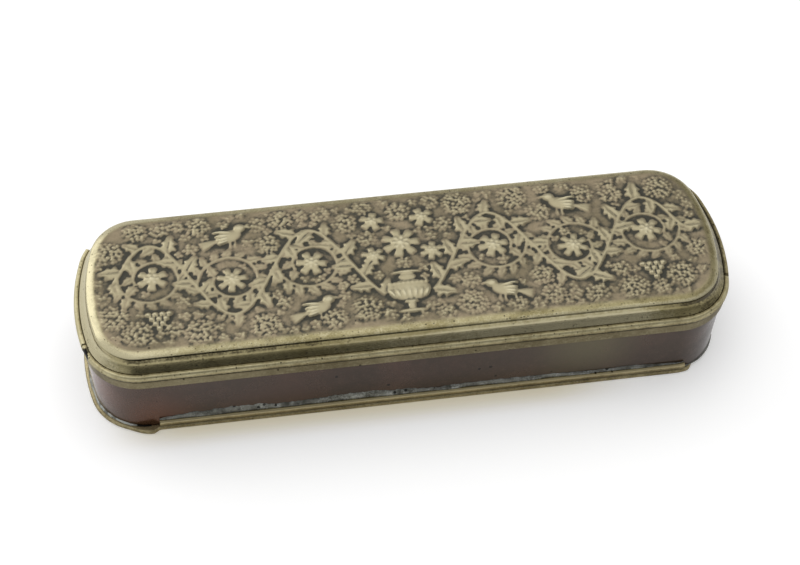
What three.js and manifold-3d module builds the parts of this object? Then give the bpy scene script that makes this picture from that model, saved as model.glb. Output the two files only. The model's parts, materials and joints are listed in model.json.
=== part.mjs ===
// Hinged tobacco box with bowed ends: copper wall, stamped brass lid and brass base.
// Millimetres, +Z up, +Y towards the hinge, origin under the middle of the base.
import * as THREE from 'three';
import Module from 'manifold-3d';
import { mergeVertices } from 'three/addons/utils/BufferGeometryUtils.js';

const wasm = await Module();
wasm.setup();

// Plan of the box, measured over the beads
const LENGTH = 165;
const WIDTH = 50.8;
const END_BOW = 5.7;
const CORNER_R = 14.7;

// Film between soldered pieces, play between lid and body, allowed chord error on arcs
const SOLDER = 0.1;
const LID_GAP = 0.2;
const CHORD_ERROR = 0.04;

// Base plate with its hemmed edge, and the half-round reeds soldered on the hem
const BASE_T = 0.9;
const HEM_H = 1.2;
const HEM_ROUND = 0.45;
const REED_H = 1.9;
const REED_ROUND = 0.4;
const REED_SETBACK = 0.05;
const FRONT_REED_FROM = 269;
const FRONT_REED_TO = 284;
const BACK_REED_FROM = 76;
const BACK_REED_TO = 104;

// Copper wall, brass collar round its top and brass bezel inside it
const WALL_T = 0.7;
const WALL_H = 18.3;
const RIM_OVERHANG = 0.55;
const COLLAR_T = 0.45;
const COLLAR_H = 2.5;
const BEZEL_T = 0.6;
const BEZEL_H = 6.5;

// Solder: fillets above the reeds and bare tracks on the hem of the two ends
const FILLET_H = 2.2;
const FILLET_T = 0.4;
const TRACK_H = 1.1;
const TRACK_W = 0.65;
const TRACK_TOP_W = 0.4;
const TRACK_EDGE_H = 0.4;
const TRACK_BREAK = 4;

// Stamped lid: edge bead, cove, upright neck, rounded shoulder and raised panel
const LID_T = 0.6;
const BEAD_H = 2.1;
const BEAD_W = 1.2;
const BEAD_ROUND = 0.6;
const COVE_W = 1.4;
const COVE_RISE = 1.6;
const NECK_H = 2.3;
const SHOULDER_W = 2.5;
const SHOULDER_RISE = 0.9;
const ARC_STEPS = 6;

// Where the lid bead is broken, as outward headings in degrees from +X
const LEFT_NOTCH = 192.5;
const LEFT_NOTCH_GAP = 5.5;
const RIGHT_NOTCH = 347.6;
const RIGHT_NOTCH_GAP = 0.9;
const LEFT_BEAD_END = 149;
const RIGHT_BEAD_END = 61;

// Tube hinge let into the back edge
const KNUCKLE_R = 1.3;
const KNUCKLES = 9;
const KNUCKLE_GAP = 0.2;
const HINGE_INSET = 0.4;
const HINGE_CLEAR = 0.25;
const PIN_R = 0.7;
const PIN_PLAY = 0.08;
const LID_BEARER_W = 1.2;
const LID_BEARER_WRAP = 120;
const TUBE_SEGMENTS = 12;

// Plan arcs worked out from the sizes above
const halfL = LENGTH / 2;
const halfW = WIDTH / 2;
const END_R = (halfW ** 2 + END_BOW ** 2) / (2 * END_BOW);
const endX = halfL - END_R;
const cornerY = halfW - CORNER_R;
const cornerX = endX + Math.sqrt((END_R - CORNER_R) ** 2 - cornerY ** 2);
const endTurn = THREE.MathUtils.radToDeg(Math.atan2(cornerY, cornerX - endX));

// Insets from the plan outline
const wallOuter = RIM_OVERHANG + COLLAR_T + SOLDER;
const wallInner = wallOuter + WALL_T;
const bezelOuter = wallInner + SOLDER;
const bezelInner = bezelOuter + BEZEL_T;
const hemInner = wallOuter - SOLDER;
const lidEdge = BEAD_W + SOLDER;
const neckInset = lidEdge + COVE_W;
const panelInset = neckInset + SHOULDER_W;

// Heights
const wallBottom = BASE_T + SOLDER;
const wallTop = wallBottom + WALL_H;
const collarBottom = wallTop - COLLAR_H;
const reedBottom = HEM_H + SOLDER;
const reedTop = reedBottom + REED_H;
const lidBottom = wallTop + LID_GAP;
const beadTop = lidBottom + BEAD_H;
const coveTop = beadTop + COVE_RISE;
const neckTop = coveTop + NECK_H;
const lidUnder = beadTop - LID_T;
const bezelTop = lidUnder - LID_GAP;
const bezelBottom = bezelTop - BEZEL_H;

// Hinge axis and lengths
const axisY = halfW - KNUCKLE_R;
const axisZ = wallTop + LID_GAP / 2;
const hingeLength = 2 * (cornerX - HINGE_INSET);
const knuckleLength = (hingeLength - (KNUCKLES - 1) * KNUCKLE_GAP) / KNUCKLES;
const grooveR = KNUCKLE_R + SOLDER;

const BRASS = new THREE.MeshStandardMaterial({ color: 0xa8925a, metalness: 1, roughness: 0.4 });
const COPPER = new THREE.MeshStandardMaterial({ color: 0x75523f, metalness: 1, roughness: 0.4 });
const TIN = new THREE.MeshStandardMaterial({ color: 0x7b8486, metalness: 1, roughness: 0.6 });

// Arcs of the outline in turning order: centre x, centre y, radius, first and last heading
const ARCS = [
  [cornerX, -cornerY, CORNER_R, -90, -endTurn],
  [endX, 0, END_R, -endTurn, endTurn],
  [cornerX, cornerY, CORNER_R, endTurn, 90],
  [-cornerX, cornerY, CORNER_R, 90, 180 - endTurn],
  [-endX, 0, END_R, 180 - endTurn, 180 + endTurn],
  [-cornerX, -cornerY, CORNER_R, 180 + endTurn, 270],
];

// Stations of the outline between two headings, each with its outward direction
function trace(from, to) {
  const stations = [];
  for (const turn of [0, 360]) {
    for (const [cx, cy, radius, first, last] of ARCS) {
      const lo = Math.max(from, first + turn);
      const hi = Math.min(to, last + turn);
      if (lo >= hi) continue;
      const step = THREE.MathUtils.radToDeg(2 * Math.acos(1 - CHORD_ERROR / radius));
      const count = Math.ceil((hi - lo) / step);
      for (let i = 0; i <= count; i += 1) {
        const heading = THREE.MathUtils.degToRad(lo + ((hi - lo) * i) / count);
        const out = new THREE.Vector2(Math.cos(heading), Math.sin(heading));
        const at = new THREE.Vector2(cx, cy).addScaledVector(out, radius);
        const before = stations[stations.length - 1];
        if (before && before.at.distanceTo(at) < SOLDER / 10) continue;
        stations.push({ at, out });
      }
    }
  }
  return stations;
}

const WHOLE = trace(-90, 270);

// Points of a section, in rings that follow the stations
function ringPoints(stations, section) {
  const points = [];
  for (const { at, out } of stations) {
    for (const [inset, z] of section) {
      points.push(at.x - out.x * inset, at.y - out.y * inset, z);
    }
  }
  return points;
}

function geometryFrom(points, faces) {
  const geometry = new THREE.BufferGeometry();
  geometry.setAttribute('position', new THREE.Float32BufferAttribute(points, 3));
  geometry.setIndex(faces);
  geometry.computeVertexNormals();
  return geometry;
}

// Quads between neighbouring stations for the section edges listed by their first point
function sideFaces(stationCount, size, edges, closed) {
  const faces = [];
  const spans = closed ? stationCount : stationCount - 1;
  for (let i = 0; i < spans; i += 1) {
    const here = i * size;
    const next = ((i + 1) % stationCount) * size;
    for (const j of edges) {
      const k = (j + 1) % size;
      faces.push(here + j, here + k, next + k, here + j, next + k, next + j);
    }
  }
  return faces;
}

// A closed section carried along the stations; sections run outer top to outer bottom to inner
function moulding(section, stations, closed) {
  const size = section.length;
  const edges = section.map((_, j) => j);
  const faces = sideFaces(stations.length, size, edges, closed);
  if (!closed) {
    const flat = section.map(([inset, z]) => new THREE.Vector2(-inset, z));
    const lastRing = (stations.length - 1) * size;
    for (const [a, b, c] of THREE.ShapeUtils.triangulateShape(flat, [])) {
      faces.push(a, b, c, lastRing + a, lastRing + c, lastRing + b);
    }
  }
  return geometryFrom(ringPoints(stations, section), faces);
}

// A sheet pressing: the section runs from the top face over the edge to the bottom face
function pressing(section) {
  const size = section.length;
  const edges = section.slice(0, -1).map((_, j) => j);
  const faces = sideFaces(WHOLE.length, size, edges, true);
  for (const [ring, flip] of [[0, false], [size - 1, true]]) {
    const flat = WHOLE.map(({ at, out }) => at.clone().addScaledVector(out, -section[ring][0]));
    for (const [a, b, c] of THREE.ShapeUtils.triangulateShape(flat, [])) {
      const corners = flip ? [a, c, b] : [a, b, c];
      faces.push(...corners.map((i) => i * size + ring));
    }
  }
  return geometryFrom(ringPoints(WHOLE, section), faces);
}

// Points of an elliptical arc in the section plane, angles in degrees
function sectionArc(inset, z, insetRadius, zRadius, from, to) {
  const points = [];
  for (let i = 0; i <= ARC_STEPS; i += 1) {
    const angle = THREE.MathUtils.degToRad(from + ((to - from) * i) / ARC_STEPS);
    points.push([inset - insetRadius * Math.cos(angle), z + zRadius * Math.sin(angle)]);
  }
  return points;
}

function band(outer, inner, bottom, top) {
  return [[outer, top], [outer, bottom], [inner, bottom], [inner, top]];
}

function toSolid(geometry) {
  const bare = new THREE.BufferGeometry();
  bare.setAttribute('position', geometry.getAttribute('position'));
  bare.setIndex(geometry.getIndex());
  const joined = mergeVertices(bare);
  const mesh = new wasm.Mesh({
    numProp: 3,
    vertProperties: new Float32Array(joined.getAttribute('position').array),
    triVerts: new Uint32Array(joined.getIndex().array),
  });
  return new wasm.Manifold(mesh);
}

function cut(geometry, tool) {
  const mesh = toSolid(geometry).subtract(toSolid(tool)).getMesh();
  return geometryFrom(Array.from(mesh.vertProperties), Array.from(mesh.triVerts));
}

const group = new THREE.Group();
group.name = 'tobacco_box';

// Section frame of the hinge: local X is +Y, local Y is +Z, local Z is +X
const hinge = new THREE.Group();
hinge.name = 'hinge_frame';
hinge.position.set(0, axisY, axisZ);
hinge.rotation.set(Math.PI / 2, Math.PI / 2, 0);
group.add(hinge);

function add(name, geometry, material, parent = group) {
  const mesh = new THREE.Mesh(geometry, material);
  mesh.name = name;
  parent.add(mesh);
  return mesh;
}

// Lid plate
function lidPlate() {
  const shoulder = sectionArc(panelInset, neckTop, SHOULDER_W, SHOULDER_RISE, 90, 0);
  const cove = sectionArc(lidEdge, coveTop, -COVE_W, -COVE_RISE, 0, 90);
  const upper = [...shoulder, ...cove];
  const lower = upper.map(([inset, z]) => [inset + LID_T, z - LID_T]).reverse();
  const plate = pressing([...upper, [lidEdge, lidUnder], ...lower]);
  const tunnel = new THREE.CylinderGeometry(
    KNUCKLE_R + HINGE_CLEAR, KNUCKLE_R + HINGE_CLEAR, LENGTH, 4 * TUBE_SEGMENTS);
  tunnel.rotateZ(Math.PI / 2);
  tunnel.translate(0, axisY, axisZ);
  return cut(plate, tunnel);
}
add('lid_plate', lidPlate(), BRASS);

// Lid beads: half-round strips, broken at two notches and at the back corners
const beadMiddle = lidBottom + BEAD_H / 2;
const beadSection = [
  ...sectionArc(BEAD_ROUND, beadMiddle, BEAD_ROUND, BEAD_H / 2, 90, -90),
  [BEAD_W, lidBottom],
  [BEAD_W, beadTop],
];
add('lid_bead_front', moulding(
  beadSection, trace(LEFT_NOTCH + LEFT_NOTCH_GAP, RIGHT_NOTCH), false), BRASS);
add('lid_bead_left', moulding(beadSection, trace(LEFT_BEAD_END, LEFT_NOTCH), false), BRASS);
add('lid_bead_right', moulding(
  beadSection, trace(RIGHT_NOTCH + RIGHT_NOTCH_GAP, RIGHT_BEAD_END + 360), false), BRASS);

// Copper wall, stepped down along the back for the hinge
function sideWall() {
  const wall = moulding(band(wallOuter, wallInner, wallBottom, wallTop), WHOLE, true);
  const notch = new THREE.BoxGeometry(hingeLength + 2 * SOLDER, 2 * wallInner + 2 * KNUCKLE_R, WALL_H);
  notch.translate(0, halfW, collarBottom - SOLDER + WALL_H / 2);
  return cut(wall, notch);
}
add('side_wall', sideWall(), COPPER);

// Collar and bezel run from one end of the hinge round the front to the other
const ROUND_FRONT = trace(90, 450);
add('top_collar', moulding(
  band(RIM_OVERHANG, RIM_OVERHANG + COLLAR_T, collarBottom, wallTop), ROUND_FRONT, false), BRASS);
add('inner_bezel', moulding(
  band(bezelOuter, bezelInner, bezelBottom, bezelTop), ROUND_FRONT, false), BRASS);

// Base plate with hemmed edge
const hem = sectionArc(HEM_ROUND, HEM_H / 2, HEM_ROUND, HEM_H / 2, 90, -90);
add('base_plate', pressing([[hemInner, BASE_T], [hemInner, HEM_H], ...hem, [hemInner, 0]]), BRASS);

// Reeds on the hem
const reedSection = [
  ...sectionArc(REED_SETBACK + REED_ROUND, reedBottom + REED_H / 2, REED_ROUND, REED_H / 2, 90, -90),
  [hemInner, reedBottom],
  [hemInner, reedTop],
];
add('base_reed_front', moulding(reedSection, trace(FRONT_REED_FROM, FRONT_REED_TO), false), BRASS);
add('base_reed_back', moulding(reedSection, trace(BACK_REED_FROM, BACK_REED_TO), false), BRASS);

// Solder
const filletFoot = reedTop + SOLDER;
const filletSection = [
  [hemInner - FILLET_T, filletFoot],
  [hemInner, filletFoot],
  [hemInner, filletFoot + FILLET_H],
];
add('solder_front', moulding(filletSection, trace(FRONT_REED_FROM, FRONT_REED_TO), false), TIN);
add('solder_back', moulding(filletSection, trace(BACK_REED_FROM, BACK_REED_TO), false), TIN);
const trackSection = [
  [hemInner - TRACK_TOP_W, reedBottom + TRACK_EDGE_H],
  [hemInner - TRACK_W, reedBottom],
  [hemInner, reedBottom],
  [hemInner, reedBottom + TRACK_H],
];
add('solder_left', moulding(
  trackSection, trace(BACK_REED_TO + TRACK_BREAK, FRONT_REED_FROM - TRACK_BREAK), false), TIN);
add('solder_right', moulding(
  trackSection, trace(FRONT_REED_TO + TRACK_BREAK, BACK_REED_FROM + 360 - TRACK_BREAK), false), TIN);

function bar(name, shape, length) {
  const options = { depth: length, bevelEnabled: false, curveSegments: TUBE_SEGMENTS };
  const mesh = add(name, new THREE.ExtrudeGeometry(shape, options), BRASS, hinge);
  mesh.position.z = -length / 2;
  return mesh;
}

// Grooved bar on the wall that carries the body knuckles
function bodyBearerShape() {
  const front = KNUCKLE_R - bezelInner;
  const back = KNUCKLE_R - RIM_OVERHANG;
  const foot = collarBottom - axisZ;
  const shape = new THREE.Shape();
  shape.moveTo(front, foot);
  shape.lineTo(back, foot);
  shape.absarc(0, 0, grooveR, -Math.acos(back / grooveR), -Math.acos(front / grooveR), true);
  shape.closePath();
  return shape;
}
bar('body_hinge_bearer', bodyBearerShape(), hingeLength);

// Grooved bar under the lid that carries the lid knuckles
function lidBearerShape() {
  const foot = lidBottom - axisZ;
  const top = lidUnder - SOLDER - axisZ;
  const front = -grooveR - LID_BEARER_W;
  const wrap = THREE.MathUtils.degToRad(LID_BEARER_WRAP);
  const shape = new THREE.Shape();
  shape.moveTo(front, foot);
  shape.absarc(0, 0, grooveR, Math.PI - Math.asin(foot / grooveR), wrap, true);
  shape.lineTo(grooveR * Math.cos(wrap), top);
  shape.lineTo(front, top);
  shape.closePath();
  return shape;
}
bar('lid_hinge_bearer', lidBearerShape(), hingeLength);

// Knuckles by turns on the body and the lid, all on one pin
function knuckleShape() {
  const shape = new THREE.Shape();
  shape.absarc(0, 0, KNUCKLE_R, 0, 2 * Math.PI, false);
  const bore = new THREE.Path();
  bore.absarc(0, 0, PIN_R + PIN_PLAY, 0, 2 * Math.PI, true);
  shape.holes.push(bore);
  return shape;
}
for (let i = 0; i < KNUCKLES; i += 1) {
  const owner = i % 2 === 0 ? 'body' : 'lid';
  const knuckle = bar(`${owner}_knuckle_${Math.floor(i / 2) + 1}`, knuckleShape(), knuckleLength);
  knuckle.position.z = -hingeLength / 2 + i * (knuckleLength + KNUCKLE_GAP);
}

const pin = new THREE.CylinderGeometry(PIN_R, PIN_R, hingeLength, 2 * TUBE_SEGMENTS);
pin.rotateX(Math.PI / 2);
add('hinge_pin', pin, BRASS, hinge);

export default group;
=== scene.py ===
import json
import math

import bmesh
import bpy
import numpy as np
from mathutils import Matrix, Vector, noise
from mathutils.bvhtree import BVHTree

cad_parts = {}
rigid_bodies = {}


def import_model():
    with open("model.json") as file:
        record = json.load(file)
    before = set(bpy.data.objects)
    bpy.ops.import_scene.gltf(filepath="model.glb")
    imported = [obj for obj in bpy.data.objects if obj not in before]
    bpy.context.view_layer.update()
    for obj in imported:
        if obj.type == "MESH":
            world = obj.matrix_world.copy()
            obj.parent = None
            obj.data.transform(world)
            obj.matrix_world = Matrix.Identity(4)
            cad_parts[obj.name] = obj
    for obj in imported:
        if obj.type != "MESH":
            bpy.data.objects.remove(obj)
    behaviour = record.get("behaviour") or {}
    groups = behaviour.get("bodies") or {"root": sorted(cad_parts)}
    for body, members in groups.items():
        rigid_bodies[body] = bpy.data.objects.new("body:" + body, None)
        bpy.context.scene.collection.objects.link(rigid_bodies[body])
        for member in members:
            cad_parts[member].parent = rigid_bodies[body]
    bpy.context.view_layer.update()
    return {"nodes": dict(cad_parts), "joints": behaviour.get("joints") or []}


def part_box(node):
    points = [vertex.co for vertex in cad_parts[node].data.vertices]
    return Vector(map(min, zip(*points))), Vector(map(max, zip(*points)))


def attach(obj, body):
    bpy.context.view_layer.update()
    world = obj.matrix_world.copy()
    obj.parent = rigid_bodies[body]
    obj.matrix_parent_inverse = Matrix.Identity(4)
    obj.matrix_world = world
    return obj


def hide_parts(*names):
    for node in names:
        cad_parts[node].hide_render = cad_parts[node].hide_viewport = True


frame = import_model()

MM = 0.001


def heights(node):
    """Foot and top of a solid of the frame."""
    return [corner.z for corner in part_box(node)]


# Plan of the box, measured over the beads
HALF_L, HALF_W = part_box("base_plate")[1].xy
END_BOW = 5.7 * MM
CORNER_R = 14.7 * MM
END_R = (HALF_W**2 + END_BOW**2) / (2 * END_BOW)
END_X = HALF_L - END_R
CORNER_Y = HALF_W - CORNER_R
CORNER_X = END_X + math.sqrt((END_R - CORNER_R) ** 2 - CORNER_Y**2)
END_TURN = math.degrees(math.atan2(CORNER_Y, CORNER_X - END_X))

# Insets of the faces from the plan outline
COLLAR_IN, COLLAR_T = 0.55 * MM, 0.45 * MM
WALL_IN, WALL_T = 1.1 * MM, 0.7 * MM
BEZEL_IN, BEZEL_T = 1.9 * MM, 0.6 * MM
HEM_W, HEM_ROUND, REED_ROUND = 1.0 * MM, 0.45 * MM, 0.4 * MM
BEAD_W, BEAD_ROUND = 1.2 * MM, 0.6 * MM
LID_EDGE, LID_T = 1.3 * MM, 0.6 * MM
NECK_IN = LID_EDGE + 1.4 * MM
NECK_LEAN = 0.2 * MM
SHOULDER_W = 2.5 * MM
END_INSET = 0.8 * MM
PANEL_IN = NECK_IN + SHOULDER_W

# Heights read from the frame
HEM_TOP = heights("base_plate")[1]
REED_FOOT, REED_TOP = heights("base_reed_front")
WALL_FOOT, WALL_TOP = heights("side_wall")
COLLAR_FOOT = heights("top_collar")[0]
BEZEL_FOOT, BEZEL_TOP = heights("inner_bezel")
BEAD_FOOT, BEAD_TOP = heights("lid_bead_front")
COVE_TOP = BEAD_TOP + 2.3 * MM
NECK_TOP = COVE_TOP + 1.6 * MM
GROUND_Z = NECK_TOP + 0.8 * MM
FLOOR_Z = 0.9 * MM

# Headings in degrees where strips begin and end
ALL_ROUND = (-90, 270)
ROUND_FRONT = (90.01, 449.99)
LEFT_NOTCH, LEFT_NOTCH_END = 192.5, 193
RIGHT_NOTCH, RIGHT_NOTCH_END = 347.6, 348.5
LEFT_BEAD_END, RIGHT_BEAD_END = 149, 61
FRONT_REED, BACK_REED = (269, 280), (76, 104)
LEFT_TRACK, RIGHT_TRACK = (108, 270), (283, 432)
LOST_HEM = (76, 64)
REED_START = 2.2 * MM - CORNER_X

# Hinge
HINGE = frame["joints"][0]
AXIS_Y, AXIS_Z = HINGE["pos_m"][1:]
KNUCKLE_R = HALF_W - AXIS_Y
KNUCKLES = 9
KNUCKLE_GAP = 0.2 * MM
KNUCKLE_SIDES = 40
HINGE_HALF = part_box("hinge_pin")[1].x
KNUCKLE_LENGTH = (2 * HINGE_HALF - (KNUCKLES - 1) * KNUCKLE_GAP) / KNUCKLES
PIN_R, BORE_R = 0.7 * MM, 0.78 * MM

WELD = 0.004 * MM


# Node trees: outputs of nodes are used like plain values
def socket(sockets, label):
    return next(s for s in sockets if s.name == label and s.enabled)


def feed(node, feeds):
    """Links or sets inputs of a node, each given by its label or its number."""
    for label, value in feeds.items():
        target = node.inputs[label] if isinstance(label, int) else socket(node.inputs, label)
        if isinstance(value, Output):
            node.id_data.links.new(value.source, target)
        else:
            target.default_value = value


def place(tree, kind, feeds=None, **settings):
    node = tree.nodes.new(kind)
    for key, value in settings.items():
        setattr(node, key, value)
    feed(node, feeds or {})
    return Output(node)


def sum_of(operation, swapped=False):
    """Method that turns two values into a maths node."""
    def method(first, second=0.0):
        pair = (second, first) if swapped else (first, second)
        return place(first.tree, "ShaderNodeMath", dict(enumerate(pair)), operation=operation)
    return method


class Output:
    """Output of a node: the first one, unless a label asks for another."""

    def __init__(self, node, label=None):
        self.tree, self.node = node.id_data, node
        if label:
            self.source = socket(node.outputs, label)
        else:
            self.source = next((s for s in node.outputs if s.enabled), None)

    def __getitem__(self, label):
        return Output(self.node, label)

    __add__ = sum_of("ADD")
    __sub__ = sum_of("SUBTRACT")
    __rsub__ = sum_of("SUBTRACT", swapped=True)
    __mul__ = sum_of("MULTIPLY")
    __truediv__ = sum_of("DIVIDE")
    __rtruediv__ = sum_of("DIVIDE", swapped=True)
    __mod__ = sum_of("MODULO")
    __lt__ = sum_of("LESS_THAN")
    __abs__ = sum_of("ABSOLUTE")
    at_least = sum_of("MAXIMUM")
    at_most = sum_of("MINIMUM")

    def vector(self, operation, other):
        second = "Scale" if operation == "SCALE" else 1
        return place(self.tree, "ShaderNodeVectorMath", {0: self, second: other}, operation=operation)

    def step(self, low, high):
        """Smooth step from 0 at the first value to 1 at the second."""
        return place(self.tree, "ShaderNodeMapRange", {
            "Value": self, "From Min": low, "From Max": high}, interpolation_type="SMOOTHSTEP")

    def blend(self, first, second):
        """Mix of two colours, with this value as the share of the second."""
        return place(self.tree, "ShaderNodeMix", {
            "Factor": self, "A": first, "B": second}, data_type="RGBA")

    def noise(self, scale, detail, roughness, distortion=0.0):
        return place(self.tree, "ShaderNodeTexNoise", {
            "Vector": self, "Scale": scale, "Detail": detail, "Roughness": roughness,
            "Distortion": distortion})


def new_group(name, kind, inputs, outputs):
    """Node group with labels listed for each kind of socket; returns it with its inputs."""
    group = bpy.data.node_groups.new(name, kind + "NodeTree")
    for way, sockets in (("INPUT", inputs), ("OUTPUT", outputs)):
        for sort, labels in sockets.items():
            for label in labels:
                group.interface.new_socket(label, in_out=way, socket_type="NodeSocket" + sort)
    return group, place(group, "NodeGroupInput")


def new_tree(name, **inputs):
    shapes = {"Geometry": ["Geometry"]}
    tree, given = new_group(name, "Geometry", {**shapes, **inputs}, shapes)
    tree.is_modifier = True
    return tree, given


def close_tree(geometry, metal):
    tree = geometry.tree
    real = place(tree, "GeometryNodeRealizeInstances", {"Geometry": geometry})
    coated = place(tree, "GeometryNodeSetMaterial", {"Geometry": real, "Material": metal})
    place(tree, "NodeGroupOutput", {"Geometry": coated})
    return tree


def drawn(obj):
    return place(obj.tree, "GeometryNodeObjectInfo", {"Object": obj})["Geometry"]


def curve_of(mesh):
    return place(mesh.tree, "GeometryNodeMeshToCurve", {"Mesh": mesh})


def chance(low, high, seed):
    return place(seed.tree, "FunctionNodeRandomValue", {
        "Min": low, "Max": high, "Seed": seed}, data_type="FLOAT")


def turn_flat(angle):
    return place(angle.tree, "FunctionNodeAxisAngleToRotation", {"Axis": (0, 0, 1), "Angle": angle})


def joined(*parts):
    joint = place(parts[0].tree, "GeometryNodeJoinGeometry")
    for part in parts:
        feed(joint.node, {"Geometry": part})
    return joint


def shape(obj, tree, values):
    """Works an object with a tree and leaves it as a plain mesh."""
    modifier = obj.modifiers.new(tree.name, "NODES")
    modifier.node_group = tree
    for item in tree.interface.items_tree:
        if item.in_out == "INPUT" and item.name in values:
            modifier[item.identifier] = values[item.name]
    bpy.context.view_layer.update()
    shaped = obj.evaluated_get(bpy.context.evaluated_depsgraph_get())
    mesh = bpy.data.meshes.new_from_object(shaped)
    obj.modifiers.clear()
    obj.data = mesh


# Mesh helpers
def add_object(name, data):
    obj = bpy.data.objects.new(name, data)
    bpy.context.scene.collection.objects.link(obj)
    return obj


def mesh_object(name, points, faces=(), edges=(), metal=None):
    mesh = bpy.data.meshes.new(name)
    mesh.from_pydata([tuple(p) for p in points], list(edges), list(faces))
    if metal:
        mesh.materials.append(metal)
    return add_object(name, mesh)


def loop(count):
    return [(i, (i + 1) % count) for i in range(count)]


def skin(rows, size, first=0, around=False):
    """Faces between rows of points, each of them a closed ring."""
    faces = []
    for row in range(rows if around else rows - 1):
        here, above = first + row * size, first + (row + 1) % rows * size
        faces += [(here + i, here + j, above + j, above + i) for i, j in loop(size)]
    return faces


def capped_skin(rows, size):
    last = (rows - 1) * size
    return skin(rows, size) + [tuple(range(size)), tuple(range(last, last + size))]


def set_attribute(obj, name, values):
    attribute = obj.data.attributes.new(name, "FLOAT", "POINT")
    attribute.data.foreach_set("value", np.asarray(values, np.float32))


def settle(obj, sharp=38):
    """Merges doubles, turns faces outwards and smooths all but sharp edges."""
    work = bmesh.new()
    work.from_mesh(obj.data)
    bmesh.ops.remove_doubles(work, verts=work.verts, dist=WELD)
    bmesh.ops.recalc_face_normals(work, faces=work.faces)
    work.to_mesh(obj.data)
    work.free()
    obj.data.shade_smooth()
    obj.data.set_sharp_from_angle(angle=math.radians(sharp))
    return obj


def finish_piece(obj, body, slot, *nodes):
    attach(obj, body)
    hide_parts(*nodes)


def discard(*objects):
    for obj in objects:
        bpy.data.objects.remove(obj)


def smooth_step(value, low, high):
    t = np.clip((value - low) / (high - low), 0, 1)
    return t * t * (3 - 2 * t)


def round_angles(count):
    return np.linspace(0, 2 * math.pi, count, endpoint=False)


# Outline of the box
ARCS = [
    (CORNER_X, -CORNER_Y, CORNER_R, -90, -END_TURN),
    (END_X, 0, END_R, -END_TURN, END_TURN),
    (CORNER_X, CORNER_Y, CORNER_R, END_TURN, 90),
    (-CORNER_X, CORNER_Y, CORNER_R, 90, 180 - END_TURN),
    (-END_X, 0, END_R, 180 - END_TURN, 180 + END_TURN),
    (-CORNER_X, -CORNER_Y, CORNER_R, 180 + END_TURN, 270),
]


def straight(first, last, step):
    count = max(1, math.ceil(np.linalg.norm(last - first) / step))
    return first + (last - first) * (np.arange(1, count) / count)[:, None]


def trace(first, last, step):
    """Points of the outline between two headings, with their outward directions."""
    points, outward = [], []

    def add_side(end, facing):
        side = straight(points[-1][-1], end, step)
        points.append(side)
        outward.append(np.repeat(facing[:1], len(side), 0))

    for turn in (0, 360):
        for cx, cy, radius, low, high in ARCS:
            begin, end = max(first, low + turn), min(last, high + turn)
            if begin >= end:
                continue
            count = math.ceil(math.radians(end - begin) * radius / step)
            heading = np.radians(np.linspace(begin, end, count + 1))
            facing = np.stack([np.cos(heading), np.sin(heading)], 1)
            arc = np.array([cx, cy]) + facing * radius
            if points and np.linalg.norm(arc[0] - points[-1][-1]) < WELD:
                arc, facing = arc[1:], facing[1:]
            elif points:
                add_side(arc[0], facing)
            points.append(arc)
            outward.append(facing)
    if last - first == 360 and np.linalg.norm(points[0][0] - points[-1][-1]) > WELD:
        add_side(points[0][0], outward[0])
    return np.concatenate(points), np.concatenate(outward)


# Strips and bands: a section of (inset, z) points carried along the outline
STRIP_STEP = 0.6 * MM


def half_round(inset, radius, foot, top, count):
    """Points down the round face of a strip, from its top to its foot."""
    middle, half = (foot + top) / 2, (top - foot) / 2
    angle = np.radians(np.linspace(90, -90, count + 1))
    return [(inset - radius * math.cos(a), middle + half * math.sin(a)) for a in angle]


def flat_band(outer, thickness, foot, top, ease=0.08 * MM, darker_top_depth=0.4 * MM):
    """Upright band with eased edges: darker along its top, rubbed along its foot."""
    inner = outer + thickness
    points = [
        (outer + ease, top), (outer, top - ease), (outer, top - darker_top_depth), (outer, foot + ease),
        (outer + ease, foot), (inner - ease, foot), (inner, foot + ease), (inner, top - ease),
        (inner - ease, top)]
    return points, [-0.4, 0.0, 0.5, 0.62, 0.6, 0.2, 0.3, 0.3, 0.5]


def moulding_tree():
    tree, given = new_tree(
        "moulding_along_the_rim", Object=["Section"], Material=["Metal"],
        Float=["Hand wobble", "Wobble length", "Seed"])
    path = curve_of(given["Geometry"])
    profile = curve_of(drawn(given["Section"]))
    upright = place(tree, "GeometryNodeSetCurveNormal", {"Curve": path}, mode="Z_UP")
    swept = place(tree, "GeometryNodeCurveToMesh", {
        "Curve": upright, "Profile Curve": profile, "Fill Caps": True})
    ripple = place(tree, "ShaderNodeTexNoise", {
        "Vector": place(tree, "GeometryNodeInputPosition"), "W": given["Seed"],
        "Scale": 1.0 / given["Wobble length"]}, noise_dimensions="4D")
    centred = ripple["Color"].vector("SUBTRACT", (0.5, 0.5, 0.5))
    worked = place(tree, "GeometryNodeSetPosition", {
        "Geometry": swept, "Offset": centred.vector("SCALE", given["Hand wobble"])})
    return close_tree(worked, given["Metal"])


MOULDING = moulding_tree()


def moulding(name, section, wear_and_light_level, span, metal, wobble, length, seed):
    """The level list gives for each point of the section how light it is: wear with painted highlight, and
    painted shade.
    """
    points, _ = trace(*span, STRIP_STEP)
    edges = loop(len(points))
    if span[1] - span[0] < 360:
        edges.pop()
    path = mesh_object(name, np.column_stack([points, np.zeros(len(points))]), edges=edges)
    corners = [(-inset, -z, 0) for inset, z in section]
    drawing = mesh_object(name + "_section", corners, edges=loop(len(corners)))
    set_attribute(drawing, "wear_and_light_level", wear_and_light_level)
    shape(path, MOULDING, {
        "Section": drawing, "Metal": metal, "Hand wobble": wobble * MM,
        "Wobble length": length * MM, "Seed": seed})
    discard(drawing)
    return settle(path)


# Materials, with colours in picture levels of 0 to 255
def srgb(*levels):
    shares = [level / 255 for level in levels]
    return (*(s / 12.92 if s <= 0.04045 else ((s + 0.055) / 1.055) ** 2.4 for s in shares), 1.0)


# Near black: painted shadow in the broken end of the front bead, and the black end of the left solder run
NEAR_BLACK = srgb(18, 17, 14)


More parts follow.
